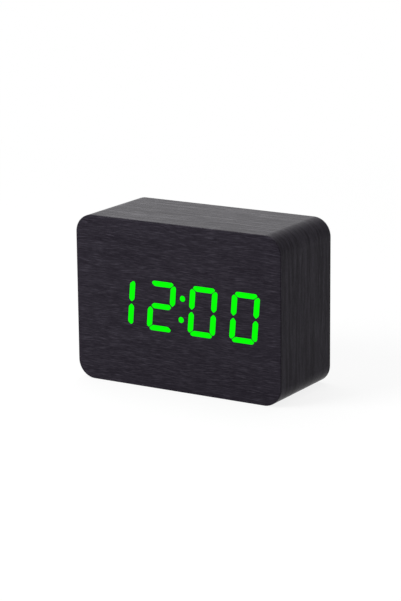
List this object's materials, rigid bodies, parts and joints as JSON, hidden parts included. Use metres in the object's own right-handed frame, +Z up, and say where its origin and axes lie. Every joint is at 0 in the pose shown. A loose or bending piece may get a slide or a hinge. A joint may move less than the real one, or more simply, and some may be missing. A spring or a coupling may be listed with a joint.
{
  "type": "digital alarm clock",
  "caption": "Block-shaped digital alarm clock with wood-grain film, green segment digits shining through the front, and a rear cover with buttons, power socket and battery door.",
  "frame": {"origin": "middle of the underside, on the surface that the clock stands on", "axes": "+X to the right seen from the front, +Y from the front to the rear, +Z up"},
  "size_m": [0.1, 0.043, 0.072],
  "materials": {
    "veneer": "satin black wood-grain film",
    "fibreboard": "fibreboard stained black",
    "white_plastic": "matt",
    "black_plastic": "fine spark texture",
    "key_plastic": "satin",
    "lens": "milky green light guide",
    "board": "green solder mask",
    "epoxy": "gloss",
    "steel": "zinc plated",
    "nickel": "nickel plated",
    "cell_jacket": "plain lacquered jacket",
    "ribbon": "grey insulation",
    "red_wire": "satin",
    "black_wire": "satin"
  },
  "bodies": {
    "clock": {"case_body": "fibreboard", "front_veneer": "veneer", "wrap_veneer": "veneer", "base_veneer": "veneer", "display_reflector": "black_plastic", "digit_1_lens": "lens", "digit_2_lens": "lens", "digit_3_lens": "lens", "digit_4_lens": "lens", "colon_lens": "lens", "display_board": "board", "display_screw_1": "steel", "display_screw_2": "steel", "display_screw_3": "steel", "display_screw_4": "steel", "clock_chip": "epoxy", "quartz_crystal": "nickel", "display_connector": "white_plastic", "ribbon_cable": "ribbon", "key_board": "board", "key_screw_1": "steel", "key_screw_2": "steel", "key_screw_3": "steel", "key_screw_4": "steel", "key_connector": "white_plastic", "supply_capacitor": "nickel", "set_switch": "steel", "up_switch": "steel", "down_switch": "steel", "power_socket": "nickel", "socket_tongue": "black_plastic", "alarm_sounder": "black_plastic", "microphone": "nickel", "rear_cover": "black_plastic", "cover_screw_1": "steel", "cover_screw_2": "steel", "cover_screw_3": "steel", "cover_screw_4": "steel", "battery_1": "cell_jacket", "battery_2": "cell_jacket", "battery_3": "cell_jacket", "battery_spring_1": "nickel", "battery_spring_2": "nickel", "battery_spring_3": "nickel", "positive_contact": "nickel", "left_bridge": "nickel", "right_bridge": "nickel", "negative_contact": "nickel", "positive_wire": "red_wire", "negative_wire": "black_wire"},
    "set_key": {"set_button": "key_plastic", "set_plunger": "black_plastic"},
    "up_key": {"up_button": "key_plastic", "up_plunger": "black_plastic"},
    "down_key": {"down_button": "key_plastic", "down_plunger": "black_plastic"},
    "battery_lid": {"battery_door": "black_plastic"}
  },
  "joints": [
    {"name": "set_key_press", "type": "slide", "parent": "clock", "child": "set_key", "axis": [0, -1, 0], "range_m": [0, 0.0004], "stiffness_N_per_m": 2000},
    {"name": "up_key_press", "type": "slide", "parent": "clock", "child": "up_key", "axis": [0, -1, 0], "range_m": [0, 0.0004], "stiffness_N_per_m": 2000},
    {"name": "down_key_press", "type": "slide", "parent": "clock", "child": "down_key", "axis": [0, -1, 0], "range_m": [0, 0.0004], "stiffness_N_per_m": 2000},
    {"name": "battery_lid_hinge", "type": "hinge", "parent": "clock", "child": "battery_lid", "pos_m": [0, 0.0195, 0.0078], "axis": [-1, 0, 0], "range_deg": [0, 80]}
  ]
}
